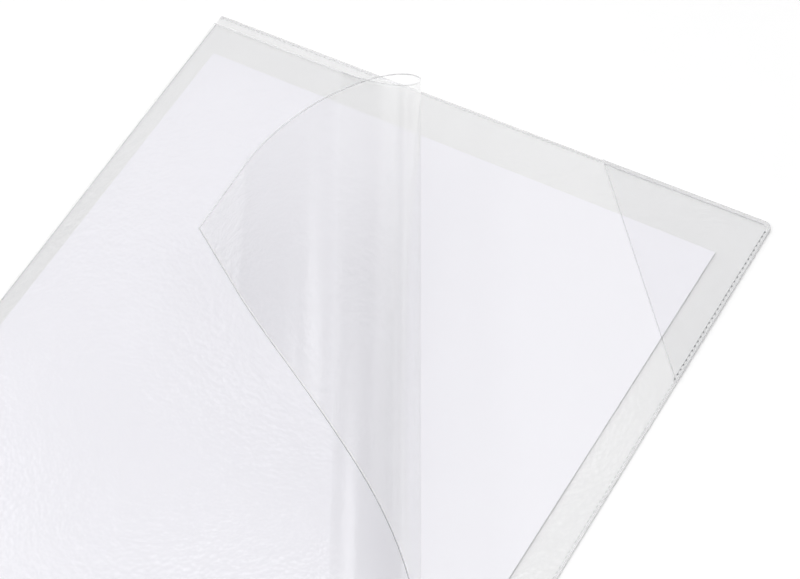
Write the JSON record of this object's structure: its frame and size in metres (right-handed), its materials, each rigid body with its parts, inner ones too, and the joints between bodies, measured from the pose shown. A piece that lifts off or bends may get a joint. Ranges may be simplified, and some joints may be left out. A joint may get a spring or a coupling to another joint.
{
  "type": "self-adhesive document pocket",
  "caption": "Clear self-adhesive pocket for a paper document, with a cover film that rolls back from its free corner and a triangular corner pocket that holds the sheet.",
  "frame": {"origin": "middle of the pocket's back, on the underside of the release liner", "axes": "+X across the pocket to its open side, +Y up to its top edge, +Z out of the front, away from the glued face"},
  "size_m": [0.23, 0.32, 0.0538],
  "materials": {
    "liner": "matte",
    "adhesive": "satin",
    "back_film": "gloss",
    "seam": "satin",
    "corner_film": "gloss",
    "cover_film": "gloss",
    "paper": "matte"
  },
  "bodies": {
    "pocket": {"adhesive_coat": "adhesive", "back_film": "back_film", "left_seam": "seam", "bottom_seam": "seam", "top_seam": "seam", "right_seam": "seam", "corner_top_seam": "seam", "corner_right_seam": "seam", "corner_pocket": "corner_film", "cover_film": "cover_film"},
    "document": {"document_sheet": "paper"},
    "upper_liner": {"liner_upper": "liner"},
    "lower_liner": {"liner_lower": "liner"},
    "flap_1": {"cover_flap_1": "cover_film"},
    "flap_2": {"cover_flap_2": "cover_film"},
    "flap_3": {"cover_flap_3": "cover_film"},
    "flap_4": {"cover_flap_4": "cover_film"},
    "flap_5": {"cover_flap_5": "cover_film"},
    "flap_6": {"cover_flap_6": "cover_film"},
    "flap_7": {"cover_flap_7": "cover_film"},
    "flap_8": {"cover_flap_8": "cover_film"},
    "flap_9": {"cover_flap_9": "cover_film"},
    "flap_10": {"cover_flap_10": "cover_film"},
    "flap_11": {"cover_flap_11": "cover_film"}
  },
  "joints": [
    {"name": "cover_bend_1", "type": "hinge", "parent": "pocket", "child": "flap_1", "pos_m": [0.03155, 0.01918, 0.0014], "axis": [-0.5195, 0.8545, 0], "range_deg": [0, 14.2]},
    {"name": "cover_bend_2", "type": "hinge", "parent": "flap_1", "child": "flap_2", "pos_m": [0.04051, 0.02463, 0.00411], "axis": [-0.5195, 0.8545, 0], "range_deg": [0, 14.2]},
    {"name": "cover_bend_3", "type": "hinge", "parent": "flap_2", "child": "flap_3", "pos_m": [0.04879, 0.02966, 0.00948], "axis": [-0.5195, 0.8545, 0], "range_deg": [0, 25.56]},
    {"name": "cover_bend_4", "type": "hinge", "parent": "flap_3", "child": "flap_4", "pos_m": [0.05432, 0.03303, 0.01876], "axis": [-0.5195, 0.8545, 0], "range_deg": [0, 25.56]},
    {"name": "cover_bend_5", "type": "hinge", "parent": "flap_4", "child": "flap_5", "pos_m": [0.0558, 0.03393, 0.02994], "axis": [-0.5195, 0.8545, 0], "range_deg": [0, 25.56]},
    {"name": "cover_bend_6", "type": "hinge", "parent": "flap_5", "child": "flap_6", "pos_m": [0.05292, 0.03218, 0.04074], "axis": [-0.5195, 0.8545, 0], "range_deg": [0, 25.56]},
    {"name": "cover_bend_7", "type": "hinge", "parent": "flap_6", "child": "flap_7", "pos_m": [0.04628, 0.02814, 0.04896], "axis": [-0.5195, 0.8545, 0], "range_deg": [0, 25.56]},
    {"name": "cover_bend_8", "type": "hinge", "parent": "flap_7", "child": "flap_8", "pos_m": [0.03738, 0.02273, 0.05285], "axis": [-0.5195, 0.8545, 0], "range_deg": [0, 14.2]},
    {"name": "cover_bend_9", "type": "hinge", "parent": "flap_8", "child": "flap_9", "pos_m": [0.02808, 0.01707, 0.054], "axis": [-0.5195, 0.8545, 0], "range_deg": [0, 14.2]},
    {"name": "cover_bend_10", "type": "hinge", "parent": "flap_9", "child": "flap_10", "pos_m": [0.01884, 0.01145, 0.05238], "axis": [-0.5195, 0.8545, 0], "range_deg": [0, 14.2]},
    {"name": "cover_bend_11", "type": "hinge", "parent": "flap_10", "child": "flap_11", "pos_m": [0.01023, 0.00622, 0.0481], "axis": [-0.5195, 0.8545, 0], "range_deg": [0, 14.2]},
    {"name": "document_slide", "type": "slide", "parent": "pocket", "child": "document", "axis": [0, 1, 0], "range_m": [-0.0025, 0.014]},
    {"name": "upper_liner_peel", "type": "slide", "parent": "pocket", "child": "upper_liner", "axis": [0, 1, 0], "range_m": [0, 0.165]},
    {"name": "lower_liner_peel", "type": "slide", "parent": "pocket", "child": "lower_liner", "axis": [0, -1, 0], "range_m": [0, 0.165]}
  ],
  "couplings": [
    {"joint": "cover_bend_2", "follows": "cover_bend_1", "ratio": 1},
    {"joint": "cover_bend_3", "follows": "cover_bend_1", "ratio": 1.8},
    {"joint": "cover_bend_4", "follows": "cover_bend_1", "ratio": 1.8},
    {"joint": "cover_bend_5", "follows": "cover_bend_1", "ratio": 1.8},
    {"joint": "cover_bend_6", "follows": "cover_bend_1", "ratio": 1.8},
    {"joint": "cover_bend_7", "follows": "cover_bend_1", "ratio": 1.8},
    {"joint": "cover_bend_8", "follows": "cover_bend_1", "ratio": 1},
    {"joint": "cover_bend_9", "follows": "cover_bend_1", "ratio": 1},
    {"joint": "cover_bend_10", "follows": "cover_bend_1", "ratio": 1},
    {"joint": "cover_bend_11", "follows": "cover_bend_1", "ratio": 1}
  ]
}
